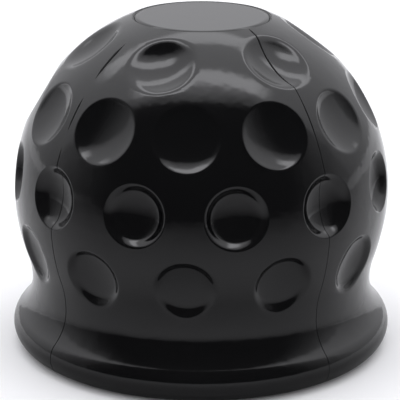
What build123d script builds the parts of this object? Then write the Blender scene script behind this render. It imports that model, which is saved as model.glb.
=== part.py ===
# Tow ball cover: a dimpled ball with a flat top, a waisted neck and a rounded skirt,
# moulded in one piece of soft vinyl, with a blind socket that snaps over a tow ball.
# Millimetres, +Z up, origin at the centre of the base.

import os
from math import asin, atan2, cos, radians, sin, sqrt

from build123d import *

# The tow ball that it fits, the play round the seated ball, and how far the mouth bites in
tow_ball_diameter = 50.0
ball_clearance = 0.25
mouth_grip = 1.5

# Outer form
wall_thickness = 8.75
flat_top_diameter = 25.0
ball_centre_height = 28.8
waist_inset = 2.9
shoulder_round = 16.0
skirt_overhang = 0.75
skirt_round = 3.6

# Lead-in below the mouth
lead_in_width = 2.6
lead_in_height = 8.0
lead_in_round = 0.8

# Dimples, row by row from the top: the rows' latitudes on the ball in degrees, how many
# dimples each row has, the azimuth of its first one in degrees, the rims' diameters and the
# radii of the bowls
dimple_row_angles = [54.0, 30.5, 7.6, -14.3]
dimple_row_counts = [6, 12, 12, 12]
dimple_start_angles = [15.0, 0.0, 15.0, 0.0]
dimple_diameters = [11.1, 11.8, 10.6, 10.5]
dimple_bowl_radii = [13.0, 15.7, 7.5, 11.7]

# The socket and the outer ball share one centre, with the wall between them
socket_radius = tow_ball_diameter / 2 + ball_clearance
ball_radius = socket_radius + wall_thickness
socket_top = ball_centre_height + socket_radius

# The flat top is where a level plane cuts the outer ball
flat_top_radius = flat_top_diameter / 2
overall_height = ball_centre_height + sqrt(ball_radius**2 - flat_top_radius**2)

# The mouth is a short cylinder, narrower than the tow ball, that meets the socket below
# its middle, and the lead-in is a cone that widens from the mouth to the base
mouth_radius = tow_ball_diameter / 2 - mouth_grip
mouth_top = ball_centre_height - sqrt(socket_radius**2 - mouth_radius**2)
lead_in_radius = mouth_radius + lead_in_width

# The waist is the narrowest ring. A hollow arc leads down to it from the ball and touches
# the ball, so the two centres lie one sum of radii apart
waist_radius = ball_radius - waist_inset
shoulder_x = waist_radius + shoulder_round
waist_z = ball_centre_height - sqrt((ball_radius + shoulder_round) ** 2 - shoulder_x**2)
shoulder_angle = atan2(waist_z - ball_centre_height, shoulder_x)
ball_end_x = ball_radius * cos(shoulder_angle)
ball_end_z = ball_centre_height + ball_radius * sin(shoulder_angle)

# The skirt is one round that ends level on the base
skirt_x = ball_radius + skirt_overhang - skirt_round
skirt_z = skirt_round

# The neck is the one hollow arc that leaves the waist upright and touches the skirt's round
waist_to_skirt_x = waist_radius - skirt_x
waist_to_skirt_z = waist_z - skirt_z
neck_round = (waist_to_skirt_x**2 + waist_to_skirt_z**2 - skirt_round**2) / (
    2 * (skirt_round - waist_to_skirt_x)
)
neck_angle = asin(waist_to_skirt_z / (neck_round + skirt_round))
skirt_start_x = skirt_x + skirt_round * cos(neck_angle)
skirt_start_z = skirt_z + skirt_round * sin(neck_angle)

with BuildPart() as cover:
    # Half section of the wall, turned once round the axis
    with BuildSketch(Plane.XZ):
        with BuildLine():
            Polyline((0, socket_top), (0, overall_height), (flat_top_radius, overall_height))
            RadiusArc((flat_top_radius, overall_height), (ball_end_x, ball_end_z), ball_radius)
            RadiusArc((ball_end_x, ball_end_z), (waist_radius, waist_z), -shoulder_round)
            RadiusArc((waist_radius, waist_z), (skirt_start_x, skirt_start_z), -neck_round)
            RadiusArc((skirt_start_x, skirt_start_z), (skirt_x, 0), skirt_round)
            Polyline(
                (skirt_x, 0),
                (lead_in_radius, 0),
                (mouth_radius, lead_in_height),
                (mouth_radius, mouth_top),
            )
            RadiusArc((mouth_radius, mouth_top), (0, socket_top), -socket_radius)
        make_face()
    revolve(axis=Axis.Z)

    # Each dimple is a shallow spherical bowl whose rim lies on the outer ball. The bowls'
    # poles lie along their row, so that each bowl stays one plain face
    for latitude, count, start_angle, diameter, bowl_radius in zip(
        dimple_row_angles, dimple_row_counts, dimple_start_angles, dimple_diameters, dimple_bowl_radii
    ):
        rim_radius = diameter / 2
        bowl_reach = sqrt(ball_radius**2 - rim_radius**2) + sqrt(bowl_radius**2 - rim_radius**2)
        row_radius = bowl_reach * cos(radians(latitude))
        row_height = ball_centre_height + bowl_reach * sin(radians(latitude))
        with Locations((0, 0, row_height)):
            with PolarLocations(row_radius, count, start_angle):
                Sphere(bowl_radius, rotation=(90, 0, 0), mode=Mode.SUBTRACT)

    # The lower edge of the lead-in is eased so that it slides over the ball
    base_edges = cover.edges().filter_by(GeomType.CIRCLE).group_by(Axis.Z)[0]
    fillet(base_edges.sort_by(SortBy.RADIUS)[0], lead_in_round)

cover.part.label = "cover"

os.makedirs("parts", exist_ok=True)
export_step(cover.part, "parts/cover.step")
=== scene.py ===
from math import acos, asin, atan2, cos, pi, radians, sin, sqrt, tan

import bpy
import numpy as np
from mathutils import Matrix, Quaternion, Vector


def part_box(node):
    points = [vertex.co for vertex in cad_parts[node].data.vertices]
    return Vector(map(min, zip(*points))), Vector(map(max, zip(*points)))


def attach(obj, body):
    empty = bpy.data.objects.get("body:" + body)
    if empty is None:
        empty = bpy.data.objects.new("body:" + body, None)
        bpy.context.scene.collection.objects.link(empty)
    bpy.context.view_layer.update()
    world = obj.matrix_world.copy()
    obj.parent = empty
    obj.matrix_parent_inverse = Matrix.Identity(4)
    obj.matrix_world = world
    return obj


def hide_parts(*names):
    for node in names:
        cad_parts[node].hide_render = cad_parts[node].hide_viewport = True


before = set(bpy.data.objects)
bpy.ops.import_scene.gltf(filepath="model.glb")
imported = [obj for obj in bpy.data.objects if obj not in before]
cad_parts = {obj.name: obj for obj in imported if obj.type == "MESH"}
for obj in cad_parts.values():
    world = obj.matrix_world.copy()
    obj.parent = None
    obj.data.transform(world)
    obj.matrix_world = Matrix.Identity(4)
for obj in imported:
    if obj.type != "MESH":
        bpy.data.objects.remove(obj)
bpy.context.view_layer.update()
print("frame loaded, nodes:", ", ".join(sorted(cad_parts)))


# Shader maths: one wrapper round an output socket, so that 1 - mask adds a Math node
class Flow:
    def __init__(self, tree, socket=None):
        self.tree = tree
        self.socket = socket

    def node(self, kind, settings, sockets, out=0):
        # settings come first, then each socket gets its value or its link
        made = self.tree.nodes.new(kind)
        for name, value in settings.items():
            if name == "stops":
                ramp = made.color_ramp.elements
                while len(ramp) < len(value):
                    ramp.new(1.0)
                for element, (position, colour) in zip(ramp, value):
                    element.position = position
                    element.color = colour
            else:
                setattr(made, name, value)
        for name, value in sockets.items():
            if isinstance(value, Flow):
                self.tree.links.new(value.socket, made.inputs[name])
            else:
                made.inputs[name].default_value = value
        return Flow(self.tree, made.outputs[out] if made.outputs else None)

    def maths(self, operation, a, b=0.0):
        return self.node("ShaderNodeMath", {"operation": operation}, {0: a, 1: b})

    def __add__(self, other):
        return self.maths("ADD", self, other)

    def __sub__(self, other):
        return self.maths("SUBTRACT", self, other)

    def __rsub__(self, other):
        return self.maths("SUBTRACT", other, self)

    def __mul__(self, other):
        return self.maths("MULTIPLY", self, other)

    __radd__ = __add__
    __rmul__ = __mul__


def newMaterial(name):
    material = bpy.data.materials.new(name)
    material.use_nodes = True
    material.node_tree.nodes.clear()
    return material, Flow(material.node_tree)


def coordinates(flow, kind):
    return flow.node("ShaderNodeTexCoord", {}, {}, out=kind)


def axisOf(flow, place, axis):
    return flow.node("ShaderNodeSeparateXYZ", {}, {"Vector": place}, out=axis)


def noise(flow, place, scale, detail):
    return flow.node("ShaderNodeTexNoise", {}, {"Vector": place, "Scale": scale, "Detail": detail})


def fade(flow, value, full, gone):
    # 1 up to the first value, easing to 0 at the second
    return flow.node(
        "ShaderNodeMapRange",
        {"interpolation_type": "SMOOTHSTEP"},
        {"Value": value, "From Min": full, "From Max": gone, "To Min": 1.0, "To Max": 0.0},
    )


# The cover's own outline, the same sizes as its solid, in metres
coverForm = {
    "ballRadius": 0.0340,
    "ballHeight": 0.0288,      # the ball's middle above the base
    "flatTopRadius": 0.0125,
    "waistRadius": 0.0311,
    "shoulderRound": 0.0160,
    "skirtRound": 0.0036,
    "leadInRadius": 0.0261,
    "leadInHeight": 0.0080,
    "leadInRound": 0.0008,
    "mouthRadius": 0.0235,
    "socketRadius": 0.02525,
}


def coverOutline(sizes, skirtRadius):
    # the sizes and what follows from them: the shoulder arc touches the ball, and the arc
    # below the waist is the one that touches both the waist and the skirt's round
    ball, waist = sizes["ballRadius"], sizes["waistRadius"]
    shoulder, skirt = sizes["shoulderRound"], sizes["skirtRound"]
    waistHeight = sizes["ballHeight"] - sqrt((ball + shoulder) ** 2 - (waist + shoulder) ** 2)
    skirtX = skirtRadius - skirt
    inward = waist - skirtX
    above = waistHeight - skirt
    neck = (inward ** 2 + above ** 2 - skirt ** 2) / (2 * (skirt - inward))
    ballEnd = atan2(waistHeight - sizes["ballHeight"], waist + shoulder)
    neckEnd = asin(above / (neck + skirt))
    return {
        **sizes,
        "waistHeight": waistHeight,
        "skirtX": skirtX,
        "neckRound": neck,
        "ballEnd": ballEnd,          # the normal's tilt where the ball and the neck's arc end
        "neckEnd": neckEnd,
        "shoulderLength": -shoulder * ballEnd,
        "neckLength": neck * neckEnd,
        "skirtLength": skirt * (neckEnd + pi / 2),
        "topLatitude": acos(sizes["flatTopRadius"] / ball),
    }


def outerProfile(form, latitude):
    # radius, height and normal by latitude: the ball's circle, then the same arc length
    # carried on along the shoulder's and the neck's hollow arcs and round the skirt
    waist, waistHeight = form["waistRadius"], form["waistHeight"]
    shoulder, neck, skirt = form["shoulderRound"], form["neckRound"], form["skirtRound"]
    past = form["ballRadius"] * (form["ballEnd"] - latitude)
    pastWaist = past - form["shoulderLength"]
    pastNeck = pastWaist - form["neckLength"]
    arcs = [past <= 0, pastWaist <= 0, pastNeck <= 0]
    tilts = [latitude, form["ballEnd"] + past / shoulder, pastWaist / neck]
    tilt = np.select(arcs, tilts, form["neckEnd"] - pastNeck / skirt)
    reach = np.select(arcs, [form["ballRadius"], -shoulder, -neck], skirt)
    middleX = np.select(arcs, [0.0, waist + shoulder, waist + neck], form["skirtX"])
    middleZ = np.select(arcs, [form["ballHeight"], waistHeight, waistHeight], skirt)
    normalX = np.cos(tilt)
    normalZ = np.sin(tilt)
    return middleX + reach * normalX, middleZ + reach * normalZ, normalX, normalZ


# Dimples, row by row from the top, angles in degrees, lengths in metres
dimples = {
    "latitudes": (54.0, 30.5, 7.6, -14.3),
    "counts": (6, 12, 12, 12),
    "firstAzimuths": (15.0, 0.0, 15.0, 0.0),
    "rimRadii": (0.0059, 0.0059, 0.00525, 0.0052),
    "bowlRadii": (0.0133, 0.0145, 0.0064, 0.0072),
    "lipDepths": (0.00055, 0.00020, 0.0010, 0.00070),     # each rim's round, as the depth it takes off
    "floorDepths": (0.0040, 0.00162, 0.00245, 0.00170),   # the bowl's floor, flatter than its wall
    "floorRadii": (0.020, 0.020, 0.012, 0.016),
    "floorBlends": (0.0003, 0.00015, 0.0003, 0.0003),
}


def depthToBall(points, normals, axes, reach, radius, missed):
    # depth along the inward normal to the far side of a ball centred on an axis: b + sqrt(b^2 - c),
    # with b the distance to its middle along the normal, and c the squared distance to its
    # middle less its squared radius
    toBall = points - axes * reach
    b = (normals * toBall).sum(-1)
    c = (toBall ** 2).sum(-1) - radius ** 2
    meets = (b * b > c) & ((b < 0) | (c < 0))
    return np.where(meets, b + np.sqrt(np.maximum(b * b - c, 0)), missed)


def dimpleDepth(form, points, normals, azimuth):
    # each row's nearest dimple: the depth t to the bowl's wall, eased as (t + w)^2 / 4w round
    # the rim where |t| < w, then the lesser of that and the floor's depth, with a small round
    # where the two are nearly the same
    ball = form["ballRadius"]
    fromCentre = points - np.array([0, 0, form["ballHeight"]])
    depth = np.zeros(azimuth.shape)
    for row, latitude in enumerate(np.radians(dimples["latitudes"])):
        rim, bowl, lip = (dimples[name][row] for name in ("rimRadii", "bowlRadii", "lipDepths"))
        sunk, flat, blend = (dimples[name][row] for name in ("floorDepths", "floorRadii", "floorBlends"))
        pitch = 2 * pi / dimples["counts"][row]
        first = radians(dimples["firstAzimuths"][row])
        nearest = first + pitch * np.round((azimuth - first) / pitch)
        level = np.full(azimuth.shape, sin(latitude))
        axes = np.stack([cos(latitude) * np.cos(nearest), cos(latitude) * np.sin(nearest), level], axis=-1)
        reach = sqrt(ball ** 2 - rim ** 2) + sqrt(bowl ** 2 - rim ** 2)
        wall = depthToBall(fromCentre, normals, axes, reach, bowl, -lip)
        wall = np.where(wall > lip, wall, np.clip(wall + lip, 0, None) ** 2 / (4 * lip))
        leastFloor = 2 * blend   # so that the floor never reaches up to the rim
        floor = depthToBall(fromCentre, normals, axes, ball - sunk + flat, flat, leastFloor)
        floor = np.maximum(floor, leastFloor)
        near = np.clip(1 - np.abs(wall - floor) / blend, 0, None)
        depth = np.maximum(depth, np.minimum(wall, floor) - near ** 2 * blend / 4)
    return depth


# Mould lines down the four quarters, and the fine groove round the flat top
seams = {
    "firstAzimuth": 45.0,
    "count": 4,
    "halfWidth": 0.00036,
    "depth": 0.00090,
    "strengths": (0.8, 0.8, 1.15, 0.85),   # share of the full groove on each line
    "changes": (0.5, 0.5, 1.0, 0.35),      # share of each groove that comes and goes along it
    "lowShare": 0.25,          # share left below the ball's middle, all of it at the top
    "dashHeight": 0.0266,      # one full stretch's middle, above the ball's middle
    "dashPitch": 0.0081,
    "dashLift": 0.5,           # more for longer full stretches and shorter gaps
    "dashFrom": 0.0100,        # the stretches come and go above this height
    "endGap": 0.001,           # radians left plain below the flat top
    "topGrooveWidth": 0.00065,
    "topGrooveDepth": 0.00050,
    "topGrooveShade": 0.04,    # how dull the finish is in it, before the finish's own gain
}


def fromMouldLine(form, azimuth, latitude):
    # the angle to the nearest mould line, and the share of the full groove there: it grows with
    # the cube of the height, in stretches cut from a cosine, and ends at the flat top
    pitch = 2 * pi / seams["count"]
    turn = azimuth - radians(seams["firstAzimuth"])
    number = np.round(turn / pitch)
    aside = turn - number * pitch
    number = number.astype(int) % seams["count"]
    height = form["ballRadius"] * np.sin(latitude)
    beat = np.cos((height - seams["dashHeight"]) / seams["dashPitch"] * 2 * pi)
    dash = np.clip(seams["dashLift"] + beat, 0, 1)
    change = np.array(seams["changes"])[number] * np.clip(height / seams["dashFrom"], 0, 1)
    upward = np.clip(np.sin(latitude) / sin(form["topLatitude"]), 0, 1)
    share = seams["lowShare"] + (1 - seams["lowShare"]) * upward ** 3
    share = share * np.array(seams["strengths"])[number] * (1 - change * (1 - dash))
    return aside, np.where(latitude < form["topLatitude"] - seams["endGap"], share, 0)


def mouldGroove(form, azimuth, latitude, radius):
    # a V across the line: the share there less the distance in half widths
    aside, share = fromMouldLine(form, azimuth, latitude)
    return np.clip(share - np.abs(aside) * radius / seams["halfWidth"], 0, None)


def skinPoints(form, azimuth, latitude):
    # the outline turned round the axis, sunk along its normal by the dimples and the mould lines
    radius, height, normalX, normalZ = outerProfile(form, latitude)
    around = np.stack([np.cos(azimuth), np.sin(azimuth)], axis=-1)
    points = np.concatenate([radius[..., None] * around, height[..., None]], axis=-1)
    normals = np.concatenate([normalX[..., None] * around, normalZ[..., None]], axis=-1)
    groove = mouldGroove(form, azimuth, latitude, radius)
    depth = dimpleDepth(form, points, normals, azimuth) + seams["depth"] * groove
    return points - normals * depth[..., None]


# The skin's grid: steps in half a dimple's pitch, then how its rings, rows and columns are spread
gridSteps = {
    "halfPitch": 18,
    "floorShare": 0.20,        # share of the rings inside half the rim's radius
    "bowlShare": 0.52,         # share of the rings inside the lip
    "lipShare": 0.85,          # share of the rings inside the lip's outer edge
    "lipInside": 0.00075,      # how far the lip's rings reach inside and outside the rim
    "lipOutside": 0.00050,
    "neckRows": 10,
    "skirtRows": 16,
    "besideLine": (-1.05, -0.5, 0.5, 1.05),   # columns added at each mould line, in half widths
    "leastGroove": 0.2,        # those columns stay at least this share of a full groove apart
    "roomSpan": 0.0015,        # columns this near a line move aside for them
    "onLine": 9,               # decimals of a radian within which a column lies on a line
    "topRings": (0.33, 0.66, 0.94, 1.0),   # shares of the flat top inside its groove
    "grooveRings": (0.25, 0.5, 0.75),      # shares of the groove's width
    "easePoints": 5,
    "mouthRing": 0.7,          # one more ring in the mouth, as a share of its top's height
    "socketRows": 22,
    "slopeStep": 0.00002,      # radians either side of a point when its slope is taken
}


def squareRing(u, v):
    # a tile's point by its square ring, max(|u|, |v|), and its turn, spread evenly along the ring
    wide = np.abs(u) >= np.abs(v)
    slant = np.where(wide, v / np.where(u == 0, 1, u), u / np.where(v == 0, 1, v)) * pi / 4
    turn = np.where(wide, slant + np.where(u < 0, pi, 0), np.where(v < 0, -pi / 2, pi / 2) - slant)
    return np.maximum(np.abs(u), np.abs(v)), turn


def roundDimple(away, turn, tilt):
    # azimuth and latitude of the point an angle away from a dimple's middle, in the direction
    # turned from east to north: cos(away) along the middle's axis and sin(away) across it
    east = np.sin(away) * np.cos(turn)
    north = np.sin(away) * np.sin(turn)
    azimuth = np.arctan2(east, np.cos(away) * cos(tilt) - north * sin(tilt))
    return azimuth, np.arcsin(np.cos(away) * sin(tilt) + north * cos(tilt))


def ringedGrid(form):
    # azimuth and latitude on a grid whose rows and columns pass through the dimples'
    # middles, bent inside each dimple's tile so that square rings become rings round it
    half, lipShare = gridSteps["halfPitch"], gridSteps["lipShare"]
    columns = 2 * half * max(dimples["counts"])
    tilts = np.radians(dimples["latitudes"])
    middles = half + 2 * half * np.arange(len(tilts))
    lastRow = middles[-1] + half
    lowest = tilts[-1] + (tilts[-1] - tilts[-2]) / 2
    rowIndex, columnIndex = np.meshgrid(np.arange(lastRow + 1), np.arange(columns), indexing="ij")
    plainLatitude = np.interp(rowIndex, [0, *middles, lastRow], [form["topLatitude"], *tilts, lowest])
    plainAzimuth = columnIndex * 2 * pi / columns
    latitude = plainLatitude.copy()
    azimuth = plainAzimuth.copy()
    spread = [0, gridSteps["floorShare"], gridSteps["bowlShare"], lipShare, 1]
    for row, middle in enumerate(middles):
        pitch = columns // dimples["counts"][row]
        first = round(dimples["firstAzimuths"][row] / 360 * columns)
        aside = (columnIndex - first + pitch // 2) % pitch - pitch // 2
        ring, turn = squareRing(aside / (pitch / 2), (middle - rowIndex) / half)
        # rings closer together over the lip
        rim = dimples["rimRadii"][row]
        lipOut = rim + gridSteps["lipOutside"]
        radii = [0, rim / 2, rim - gridSteps["lipInside"], lipOut, lipOut + gridSteps["lipOutside"]]
        away = np.interp(ring, spread, radii) / form["ballRadius"]
        ringAzimuth, ringLatitude = roundDimple(away, turn, tilts[row])
        ringAzimuth = ringAzimuth + plainAzimuth - aside * 2 * pi / columns
        # back to the plain grid at the tile's edge
        edge = np.clip((ring - lipShare) / (1 - lipShare), 0, 1)
        edge = edge * edge * (3 - 2 * edge)   # eased at both ends
        inside = np.abs(rowIndex - middle) <= half
        latitude = np.where(inside, ringLatitude * (1 - edge) + plainLatitude * edge, latitude)
        azimuth = np.where(inside, ringAzimuth * (1 - edge) + plainAzimuth * edge, azimuth)
    return azimuth, latitude


def withSeamColumns(values, seamColumns, offsets):
    # two more columns on each side of every mould line, at the given offsets from it
    pieces = []
    last = 0
    for column, offset in zip(seamColumns, offsets):
        near = values[:, column:column + 1]
        pieces += [values[:, last:column], near + offset[:, :2], near, near + offset[:, 2:]]
        last = column + 1
    return np.concatenate([*pieces, values[:, last:]], axis=1)


def skinGrid(form):
    # ringed rows over the ball, and plain rows down the neck and skirt
    azimuth, latitude = ringedGrid(form)
    columns = azimuth.shape[1]
    neckEnd = form["ballEnd"] - (form["shoulderLength"] + form["neckLength"]) / form["ballRadius"]
    skirtEnd = neckEnd - form["skirtLength"] / form["ballRadius"]
    plainRows = np.concatenate([
        np.linspace(latitude[-1, 0], neckEnd, gridSteps["neckRows"] + 1)[1:],
        np.linspace(neckEnd, skirtEnd, gridSteps["skirtRows"] + 1)[1:],
    ])
    latitude = np.concatenate([latitude, np.repeat(plainRows[:, None], columns, axis=1)])
    azimuth = np.concatenate([azimuth, np.repeat(azimuth[-1:], len(plainRows), axis=0)])

    # columns beside each mould line, as far out as its groove, and room made for them
    perSeam = columns // seams["count"]
    seamColumns = round(seams["firstAzimuth"] / 360 * columns) + perSeam * np.arange(seams["count"])
    radius = outerProfile(form, latitude)[0]
    aside, share = fromMouldLine(form, azimuth, latitude)
    closeness = np.clip(1 - np.abs(aside) * radius / gridSteps["roomSpan"], 0, None)
    side = np.sign(np.round(aside, gridSteps["onLine"]))
    azimuth = azimuth + side * closeness * seams["halfWidth"] / radius
    reach = np.maximum(share, gridSteps["leastGroove"])[:, seamColumns] / radius[:, seamColumns]
    offsets = np.array(gridSteps["besideLine"]) * seams["halfWidth"] * reach.T[..., None]
    azimuth = withSeamColumns(azimuth, seamColumns, offsets)
    return azimuth, withSeamColumns(latitude, seamColumns, offsets * 0)


def skinNormals(form, azimuth, latitude):
    # the cross product of the skin's slopes along azimuth and latitude
    step = gridSteps["slopeStep"]
    east = skinPoints(form, azimuth + step, latitude) - skinPoints(form, azimuth - step, latitude)
    north = skinPoints(form, azimuth, latitude + step) - skinPoints(form, azimuth, latitude - step)
    facing = np.cross(east, north)
    return facing / np.linalg.norm(facing, axis=-1, keepdims=True)


def topProfile(form, topHeight):
    # radius and height from the middle out: level rings, then a groove sunk as half a sine wave
    width = seams["topGrooveWidth"]
    grooveIn = form["flatTopRadius"] - width
    across = np.array(gridSteps["grooveRings"])
    level = np.array(gridSteps["topRings"]) * grooveIn
    radius = np.concatenate([level, grooveIn + across * width])
    sunk = np.concatenate([np.zeros(len(level)), seams["topGrooveDepth"] * np.sin(pi * across)])
    return np.stack([radius, topHeight - sunk], axis=-1)


def underProfile(form):
    # radius and height from the base inwards and up: an easing arc that touches the base and the
    # lead-in cone, the upright mouth, and the socket's circle from the mouth up to its crown
    mouth, ease, socket = form["mouthRadius"], form["leadInRound"], form["socketRadius"]
    cone = atan2(form["leadInHeight"], mouth - form["leadInRadius"])
    easeX = form["leadInRadius"] + ease / tan(cone / 2)
    easeTurn = np.linspace(-pi / 2, cone - 1.5 * pi, gridSteps["easePoints"])
    socketStart = -acos(mouth / socket)
    rise = np.linspace(socketStart, pi / 2, gridSteps["socketRows"] + 1)[:-1]
    mouthTop = form["ballHeight"] + socket * sin(socketStart)
    baseRing = (form["skirtX"] + easeX) / 2
    mouthRings = [form["leadInHeight"], mouthTop * gridSteps["mouthRing"]]
    radius = [[baseRing], easeX + ease * np.cos(easeTurn), [mouth, mouth], socket * np.cos(rise)]
    height = [[0.0], ease * (1 + np.sin(easeTurn)), mouthRings, form["ballHeight"] + socket * np.sin(rise)]
    return np.stack([np.concatenate(radius), np.concatenate(height)], axis=-1)


def turned(profile, azimuth):
    # a profile of radius and height carried round the axis
    around = np.stack([np.cos(azimuth), np.sin(azimuth)], axis=-1)
    height = np.repeat(profile[:, None, 1:], len(azimuth), axis=1)
    return np.concatenate([profile[:, None, :1] * around, height], axis=-1)


def closedMesh(name, grid, poles):
    # quads between the rows, closed round the axis, and a fan at each pole
    rows, columns = grid.shape[:2]
    index = np.arange(rows * columns).reshape(rows, columns)
    after = np.roll(index, -1, axis=1)
    quads = np.stack([index[:-1], index[1:], after[1:], after[:-1]], axis=-1).reshape(-1, 4)
    topPole = np.full(columns, rows * columns)
    topFan = np.stack([topPole, index[0], after[0]], axis=-1)
    crownFan = np.stack([topPole + 1, after[-1], index[-1]], axis=-1)
    fans = np.concatenate([topFan, crownFan])
    vertices = np.concatenate([grid.reshape(-1, 3), poles])
    corners = np.concatenate([quads.ravel(), fans.ravel()])
    starts = np.concatenate([np.arange(len(quads)) * 4, quads.size + np.arange(len(fans)) * 3])

    mesh = bpy.data.meshes.new(name)
    mesh.vertices.add(len(vertices))
    mesh.vertices.foreach_set("co", vertices.ravel())
    mesh.loops.add(len(corners))
    mesh.loops.foreach_set("vertex_index", corners.astype(np.int32))
    mesh.polygons.add(len(starts))
    mesh.polygons.foreach_set("loop_start", starts.astype(np.int32))
    mesh.update(calc_edges=True)
    mesh.validate()
    mesh.shade_smooth()
    return mesh


def buildCover():
    # flat top with its groove, dimpled skin, then base, lead-in, mouth and socket, in one grid
    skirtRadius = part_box("cover")[1][0]
    form = coverOutline(coverForm, skirtRadius)
    azimuth, latitude = skinGrid(form)
    points = skinPoints(form, azimuth, latitude)
    topHeight = points[0, 0, 2]
    top = topProfile(form, topHeight)
    grid = np.concatenate([turned(top, azimuth[-1]), points, turned(underProfile(form), azimuth[-1])])
    poles = np.array([[0, 0, topHeight], [0, 0, form["ballHeight"] + form["socketRadius"]]])
    mesh = closedMesh("coverSkin", grid, poles)

    # the skin's own normals, and how far each point is down a groove, for the finish
    rows, columns = grid.shape[:2]
    skinStart = len(top) * columns
    grooveStart = skinStart - len(gridSteps["grooveRings"]) * columns
    skinRows = slice(skinStart, skinStart + len(points) * columns)
    shading = np.empty(len(mesh.vertices) * 3)
    mesh.vertex_normals.foreach_get("vector", shading)
    shading = shading.reshape(-1, 3)
    shading[skinRows] = skinNormals(form, azimuth, latitude).reshape(-1, 3)
    mesh.normals_split_custom_set_from_vertices(shading)
    groove = np.zeros(len(mesh.vertices))
    groove[grooveStart:skinStart] = seams["topGrooveShade"]
    groove[skinRows] = mouldGroove(form, azimuth, latitude, outerProfile(form, latitude)[0]).ravel()
    mesh.attributes.new("groove", "FLOAT", "POINT").data.foreach_set("value", groove)
    skin = bpy.data.objects.new("coverSkin", mesh)
    bpy.context.collection.objects.link(skin)
    print("cover skin:", rows, "rows,", columns, "columns,", 2 * rows * columns, "triangles")
    return skin


# Gloss black vinyl: roughness in soft patches, slow moulding waves and a fine skin, heights in metres
glossVinyl = {
    "deepColour": (0.0012, 0.0012, 0.0014, 1),
    "paleColour": (0.0024, 0.0024, 0.0027, 1),
    "cloudScale": 70.0,        # soft patches about 15 mm across
    "cloudDetail": 3.0,
    "roughLow": 0.07,
    "roughHigh": 0.15,
    "roughClouds": 0.6,        # share of the change in roughness from the patches, the rest fine
    "grooveRough": 0.90,       # dull in the mould lines and the groove round the flat top
    "grooveGain": 8.0,         # how soon the dull finish is full inside a groove
    "waveScale": 240.0,        # slow moulding waves about 4 mm long
    "waveDetail": 2.0,
    "waveHeight": 0.000065,
    "wavesBelow": 0.0585,      # the waves die out from here up, and the flat top has almost none
    "wavesEnd": 0.0604,
    "grainScale": 2600.0,      # fine skin under half a millimetre
    "grainDetail": 2.0,
    "grainHeight": 0.0000012,
    "ior": 1.55,
}


def vinylMaterial():
    look = glossVinyl
    material, flow = newMaterial("glossVinyl")
    place = coordinates(flow, "Object")
    cloud = noise(flow, place, look["cloudScale"], look["cloudDetail"])
    wave = noise(flow, place, look["waveScale"], look["waveDetail"])
    grain = noise(flow, place, look["grainScale"], look["grainDetail"])
    colour = flow.node(
        "ShaderNodeMix",
        {"data_type": "RGBA"},
        {0: cloud, 6: look["deepColour"], 7: look["paleColour"]},   # factor and the two colours
        out=2,
    )
    inGroove = flow.node("ShaderNodeAttribute", {"attribute_name": "groove"}, {}, out="Fac")
    inGroove = flow.maths("MINIMUM", inGroove * look["grooveGain"], 1.0)
    patches = cloud * look["roughClouds"] + grain * (1 - look["roughClouds"])
    rough = look["roughLow"] + (look["roughHigh"] - look["roughLow"]) * patches
    rough = rough * (1 - inGroove) + look["grooveRough"] * inGroove
    wavy = fade(flow, axisOf(flow, place, "Z"), look["wavesBelow"], look["wavesEnd"])
    relief = wave * wavy * look["waveHeight"] + grain * look["grainHeight"]
    bump = flow.node("ShaderNodeBump", {}, {"Height": relief, "Distance": 1.0, "Strength": 1.0})
    shader = flow.node(
        "ShaderNodeBsdfPrincipled",
        {},
        {"Base Color": colour, "Roughness": rough, "Normal": bump, "IOR": look["ior"]},
    )
    flow.node("ShaderNodeOutputMaterial", {}, {"Surface": shader})
    return material


cover = buildCover()
cover.data.materials.append(vinylMaterial())
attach(cover, "root")
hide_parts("cover")
print("cover dressed in gloss vinyl")


# The studio: pale floor and soft white light, lengths in metres
studio = {
    "floorSize": 6.0,
    "floorDrop": 0.0001,
    "floorColour": (0.90, 0.90, 0.90, 1),
    "flatSteps": 3,            # points along each side of the floor and the strips
    "frontAzimuth": 3.3,       # the middle of the flag and of the floor card, both painted shade seen only in reflections, in degrees
    "lightColour": (1.0, 1.0, 1.035, 1),
    "horizonLevel": 0.47,
    "zenithLevel": 1.45,
    "behindLevel": 0.13,       # added straight behind, none at the sides
}


def sheetObject(name, points, material):
    # a single-sided sheet from a rows by columns grid of points, UV 0 to 1 across the grid
    rows, columns = points.shape[:2]
    index = np.arange(rows * columns).reshape(rows, columns)
    quads = np.stack([index[:-1, :-1], index[:-1, 1:], index[1:, 1:], index[1:, :-1]], axis=-1)
    quads = quads.reshape(-1, 4)
    mesh = bpy.data.meshes.new(name)
    mesh.from_pydata(points.reshape(-1, 3), [], quads)
    corners = quads.ravel()
    across = np.stack([corners % columns / (columns - 1), corners // columns / (rows - 1)], axis=-1)
    mesh.uv_layers.new(name="UVMap").uv.foreach_set("vector", across.ravel())
    mesh.materials.append(material)
    sheet = bpy.data.objects.new(name, mesh)
    bpy.context.collection.objects.link(sheet)
    return sheet


def flatGrid(wide, deep):
    # a level rectangle about its middle
    share = np.linspace(-0.5, 0.5, studio["flatSteps"])
    return np.meshgrid(wide * share, deep * share)


def buildFloor():
    # a flat square under the base
    material, flow = newMaterial("paleFloor")
    matt = flow.node("ShaderNodeBsdfPrincipled", {}, {"Base Color": studio["floorColour"], "Roughness": 1.0})
    flow.node("ShaderNodeOutputMaterial", {}, {"Surface": matt})
    x, y = flatGrid(studio["floorSize"], studio["floorSize"])
    sheetObject("floor", np.stack([x, y, np.full(x.shape, -studio["floorDrop"])], axis=-1), material)


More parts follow.
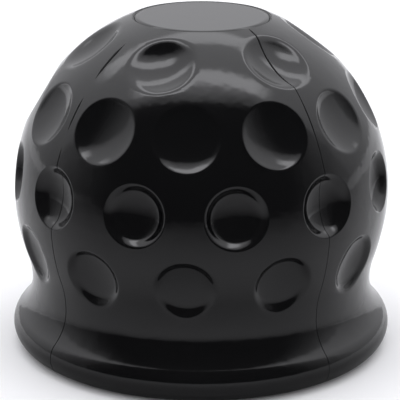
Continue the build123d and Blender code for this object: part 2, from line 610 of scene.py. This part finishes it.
def softSheetMaterial(name, look):
    # matt, from solid to clear: the look gives the colour and how solid it is at each place
    material, flow = newMaterial(name)
    colour, solid = look(flow, coordinates(flow, "Object"))
    matt = flow.node(
        "ShaderNodeBsdfPrincipled",
        {},
        {"Base Color": colour, "Roughness": 1.0, "Specular IOR Level": 0.0},
    )
    clear = flow.node("ShaderNodeBsdfTransparent", {}, {})
    mixed = flow.node("ShaderNodeMixShader", {}, {0: solid, 1: clear, 2: matt})
    flow.node("ShaderNodeOutputMaterial", {}, {"Surface": mixed})
    return material


def frontAngle(flow, place):
    # angle round the axis from the front, up to pi behind
    front = flow.node(
        "ShaderNodeVectorRotate",
        {"rotation_type": "Z_AXIS"},
        {"Vector": place, "Angle": -radians(studio["frontAzimuth"])},
    )
    ahead = axisOf(flow, front, "Y") * -1.0
    return flow.maths("ABSOLUTE", flow.maths("ARCTAN2", axisOf(flow, front, "X"), ahead))


def glossOnly(sheet):
    # seen in reflections alone, with no shadow and no bounced light
    sheet.visible_camera = False
    sheet.visible_diffuse = False
    sheet.visible_shadow = False


# Dark flag in front, seen only in the gloss: painted shade, a dark sheet that puts the unlit front of the
# room into the reflections without blocking any light. Angles in degrees, lengths in metres
flagForm = {
    "radius": 0.50,
    "centreHeight": 0.030,
    "solidAzimuth": 52.0,      # its sides: full out to here, gone at the clear angle
    "clearAzimuth": 118.0,
    "solidElevation": 65.2,    # its top: part gone at a soft edge, the rest by the clear angle
    "edgeElevation": 67.8,
    "clearElevation": 77.5,
    "edgeShare": 0.35,
    "edgeBow": 0.90,           # 1 for a straight top edge, less for one that bows back
    # the painted shade's colour, dark where the room in front is unlit
    "colour": (0.045, 0.045, 0.045, 1),
    "steps": (61, 25),
}


# painted shade in the reflections: solid in front, fading towards the sides and the top
def flagLook(flow, place):
    # top edge by its slope, tan = tan(rise) / cos(bow * turn), level along a plane when bow is 1
    height = axisOf(flow, place, "Z") - flagForm["centreHeight"]
    rise = flow.maths("ARCSINE", height * (1 / flagForm["radius"]))
    turn = frontAngle(flow, place)
    ahead = flow.maths("COSINE", rise) * flow.maths("COSINE", turn * flagForm["edgeBow"])
    slope = flow.maths("ARCTAN2", flow.maths("SINE", rise), ahead)
    aside = fade(flow, turn, radians(flagForm["solidAzimuth"]), radians(flagForm["clearAzimuth"]))
    edge = fade(flow, slope, radians(flagForm["solidElevation"]), radians(flagForm["edgeElevation"]))
    rest = fade(flow, slope, radians(flagForm["solidElevation"]), radians(flagForm["clearElevation"]))
    above = flagForm["edgeShare"] * edge + (1 - flagForm["edgeShare"]) * rest
    return flagForm["colour"], aside * above


def buildFlag():
    # part of a ball round the object, from the floor up to the clear elevation, carrying the painted shade
    radius, middle = flagForm["radius"], flagForm["centreHeight"]
    columns, rows = flagForm["steps"]
    turn = np.radians(np.linspace(-1, 1, columns) * flagForm["clearAzimuth"] + studio["frontAzimuth"])
    rise = np.linspace(-asin(middle / radius), radians(flagForm["clearElevation"]), rows)
    turn, rise = np.meshgrid(turn, rise)
    across = radius * np.cos(rise)
    height = middle + radius * np.sin(rise)
    points = np.stack([across * np.sin(turn), -across * np.cos(turn), height], axis=-1)
    glossOnly(sheetObject("flag", points, softSheetMaterial("paintedShadeFlag", flagLook)))


# Grey card on the floor in front, seen only in the gloss: painted shade of the floor in the reflections. It
# is darker next to the skirt as a painted contact shadow and darker further out as painted falloff of light.
# Angles in degrees, lengths in metres
cardForm = {
    "inner": 0.0315,
    "outer": 0.50,
    "lift": 0.0002,
    "solidAzimuth": 42.0,
    "clearAzimuth": 176.0,
    "shades": (                # share of the way out, and how pale the card is there: low next to the skirt as painted contact shadow, falling further out as painted falloff of light
        (0.0, 0.23), (0.02, 0.31), (0.04, 0.38), (0.07, 0.40),
        (0.13, 0.34), (0.28, 0.22), (0.5, 0.13), (1.0, 0.06),
    ),
    "steps": (73, 9),
}


def cardLook(flow, place):
    # painted shade of the floor by the distance from the axis, fading round towards the back
    away = flow.node("ShaderNodeVectorMath", {"operation": "LENGTH"}, {0: place}, out="Value")
    outward = (away - cardForm["inner"]) * (1 / (cardForm["outer"] - cardForm["inner"]))
    stops = [(share, (pale, pale, pale, 1)) for share, pale in cardForm["shades"]]
    colour = flow.node("ShaderNodeValToRGB", {"stops": stops}, {"Fac": outward})
    turn = frontAngle(flow, place)
    return colour, fade(flow, turn, radians(cardForm["solidAzimuth"]), radians(cardForm["clearAzimuth"]))


def buildCard():
    # a flat ring sector, from the skirt out to the flag
    columns, rows = cardForm["steps"]
    turn = np.radians(np.linspace(-1, 1, columns) * cardForm["clearAzimuth"] + studio["frontAzimuth"])
    turn, away = np.meshgrid(turn, np.linspace(cardForm["inner"], cardForm["outer"], rows))
    lift = np.full(away.shape, cardForm["lift"])
    points = np.stack([away * np.sin(turn), -away * np.cos(turn), lift], axis=-1)
    glossOnly(sheetObject("floorShadeCard", points, softSheetMaterial("paintedFloorShade", cardLook)))


# Soft strips: angles in degrees, lengths in metres, the share of each side that fades, radiance
strips = {
    "key": {
        "azimuth": 4.8,
        "elevation": 83.4,
        "distance": 0.50,
        "size": (0.76, 0.110),
        "soft": 0.4,
        "level": 3.9,
    },
    "rim": {
        "azimuth": 184.8,
        "elevation": 63.5,
        "distance": 0.50,
        "size": (1.06, 0.120),
        "soft": 0.4,
        "level": 2.9,
    },
}


def stripMaterial(name, strip):
    # light in the middle that fades to clear along all four sides
    material, flow = newMaterial(name)
    place = coordinates(flow, "UV")
    fromMiddle = [flow.maths("ABSOLUTE", axisOf(flow, place, axis) * 2.0 - 1.0) for axis in ("X", "Y")]
    across, along = (fade(flow, share, 1 - strip["soft"], 1.0) for share in fromMiddle)
    glow = flow.node("ShaderNodeEmission", {}, {"Color": studio["lightColour"], "Strength": strip["level"]})
    clear = flow.node("ShaderNodeBsdfTransparent", {}, {})
    mixed = flow.node("ShaderNodeMixShader", {}, {0: across * along, 1: clear, 2: glow})
    flow.node("ShaderNodeOutputMaterial", {}, {"Surface": mixed})
    return material


def directionOf(azimuth, elevation):
    # azimuth from the front towards the right, elevation up from level
    a, e = radians(azimuth), radians(elevation)
    return Vector((sin(a) * cos(e), -cos(a) * cos(e), sin(e)))


def buildStrips():
    # long soft sheets of light across the view, above and behind, square to the ball's middle
    for name, strip in strips.items():
        towards = directionOf(strip["azimuth"], strip["elevation"])
        turn = towards.to_track_quat("Z", "Y")
        middle = np.array(Vector((0, 0, coverForm["ballHeight"])) + towards * strip["distance"])
        right = np.array(turn @ Vector((1, 0, 0)))
        up = np.array(turn @ Vector((0, 1, 0)))
        s, t = flatGrid(*strip["size"])
        points = middle + s[..., None] * right + t[..., None] * up
        sheet = sheetObject(name, points, stripMaterial(name, strip))
        sheet.visible_camera = False
        sheet.visible_shadow = False


def buildWorld():
    # pale all round, brighter overhead and a little behind
    world = bpy.data.worlds.new("tent")
    bpy.context.scene.world = world
    world.use_nodes = True
    world.node_tree.nodes.clear()
    flow = Flow(world.node_tree)
    ray = coordinates(flow, "Generated")
    level = flow.node(
        "ShaderNodeMapRange",
        {},
        {"Value": axisOf(flow, ray, "Z"), "To Min": studio["horizonLevel"], "To Max": studio["zenithLevel"]},
    )
    level = level + studio["behindLevel"] * flow.maths("MAXIMUM", axisOf(flow, ray, "Y"), 0.0)
    tint = flow.node(
        "ShaderNodeVectorMath",
        {"operation": "SCALE"},
        {0: studio["lightColour"][:3], "Scale": level},
    )
    sky = flow.node("ShaderNodeBackground", {}, {"Color": tint, "Strength": 1.0})
    flow.node("ShaderNodeOutputWorld", {}, {"Surface": sky})


# The camera: angles in degrees, lengths in metres, lens and sensor in millimetres
cameraPlace = {
    "azimuth": 4.8,
    "elevation": 18.0,
    "roll": 0.2,
    "distance": 0.370,
    "lens": 181.6,
    "sensor": 36.0,
    "clipStart": 0.02,
    "aimHeight": 0.0260,
    "aimAside": -0.000244,
}


def placeCamera():
    # looks at the axis from the front, a little above, aimed slightly aside of the axis
    place = cameraPlace
    back = directionOf(place["azimuth"], place["elevation"])
    turn = back.to_track_quat("Z", "Y")
    right = turn @ Vector((1, 0, 0))
    aim = Vector((0, 0, place["aimHeight"])) + right * place["aimAside"]
    data = bpy.data.cameras.new("camera")
    data.lens = place["lens"]
    data.sensor_width = place["sensor"]
    data.clip_start = place["clipStart"]
    camera = bpy.data.objects.new("camera", data)
    camera.location = aim + back * place["distance"]
    camera.rotation_euler = (turn @ Quaternion((0, 0, 1), radians(place["roll"]))).to_euler()
    bpy.context.collection.objects.link(camera)
    bpy.context.scene.camera = camera
    print("camera at", [round(c, 4) for c in camera.location])


buildFloor()
buildFlag()
buildCard()
buildStrips()
buildWorld()
print("studio: floor, flag, card, strips and world")
placeCamera()
bpy.context.scene.view_settings.view_transform = "Standard"
